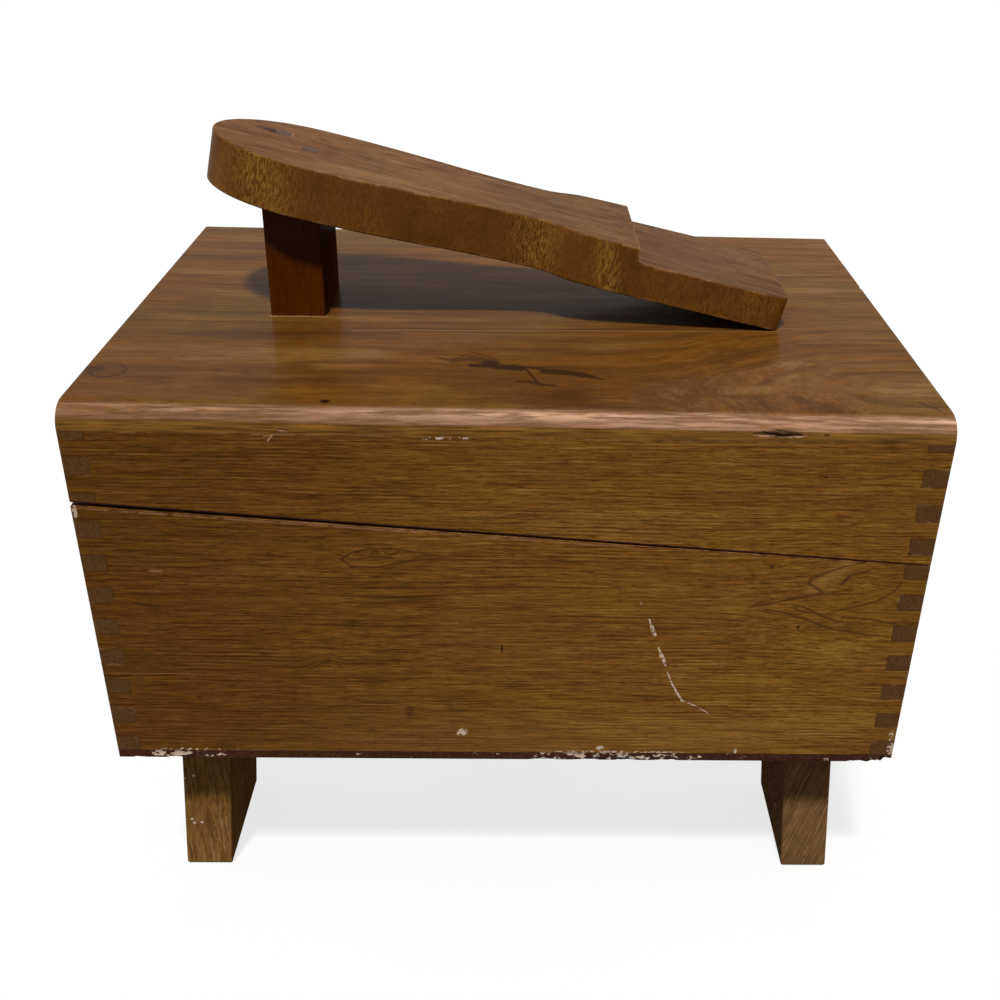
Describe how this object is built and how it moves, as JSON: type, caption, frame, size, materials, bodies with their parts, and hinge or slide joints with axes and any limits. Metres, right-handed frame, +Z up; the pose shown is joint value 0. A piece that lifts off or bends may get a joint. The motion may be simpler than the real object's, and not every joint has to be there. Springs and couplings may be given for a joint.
{
  "type": "shoe shine box",
  "caption": "Wooden shoe shine box on four splayed legs, finger-jointed, with a slanted hinged lid that carries a shoe-shaped footrest on a post.",
  "frame": {"origin": "on the floor, under the middle of the whole closed object", "axes": "+X to the right along the case, with the lid hinged at the -X end; the front is at -Y; +Z up"},
  "size_m": [0.425, 0.301, 0.4114],
  "materials": {
    "case_wood": "semi-gloss brown varnish, straight horizontal grain",
    "top_wood": "semi-gloss brown varnish, greyer with wear",
    "footrest_wood": "semi-gloss brown varnish, worn along the edges",
    "post_wood": "semi-gloss red-brown varnish",
    "leg_wood": "semi-gloss brown varnish, grain down the leg",
    "hardboard": "dark stained hardboard, matt",
    "wood_filler": "dark filler over screw heads",
    "fastener_steel": "dull plain steel",
    "hinge_brass": "dull aged brass"
  },
  "bodies": {
    "base": {"base_front_board": "case_wood", "base_back_board": "case_wood", "base_left_end_board": "case_wood", "base_right_end_board": "case_wood", "bottom_panel": "hardboard", "bottom_panel_nails": "fastener_steel", "leg_front_left": "leg_wood", "leg_front_right": "leg_wood", "leg_back_left": "leg_wood", "leg_back_right": "leg_wood", "leg_screws": "fastener_steel", "hinge_front_base_leaf": "hinge_brass", "hinge_back_base_leaf": "hinge_brass", "hinge_front_pin": "hinge_brass", "hinge_back_pin": "hinge_brass", "hinge_base_screws": "hinge_brass"},
    "lid": {"lid_front_board": "case_wood", "lid_back_board": "case_wood", "lid_left_end_board": "case_wood", "lid_right_end_board": "case_wood", "lid_top_board": "top_wood", "footrest_post": "post_wood", "footrest_board": "footrest_wood", "post_screws": "fastener_steel", "footrest_screws": "fastener_steel", "footrest_screw_plugs": "wood_filler", "heel_screws": "fastener_steel", "hinge_front_lid_leaf": "hinge_brass", "hinge_back_lid_leaf": "hinge_brass", "hinge_lid_screws": "hinge_brass"}
  },
  "joints": [
    {"name": "lid_hinge", "type": "hinge", "parent": "base", "child": "lid", "pos_m": [-0.21026, 0, 0.26367], "axis": [0, -1, 0], "range_deg": [0, 180]}
  ]
}
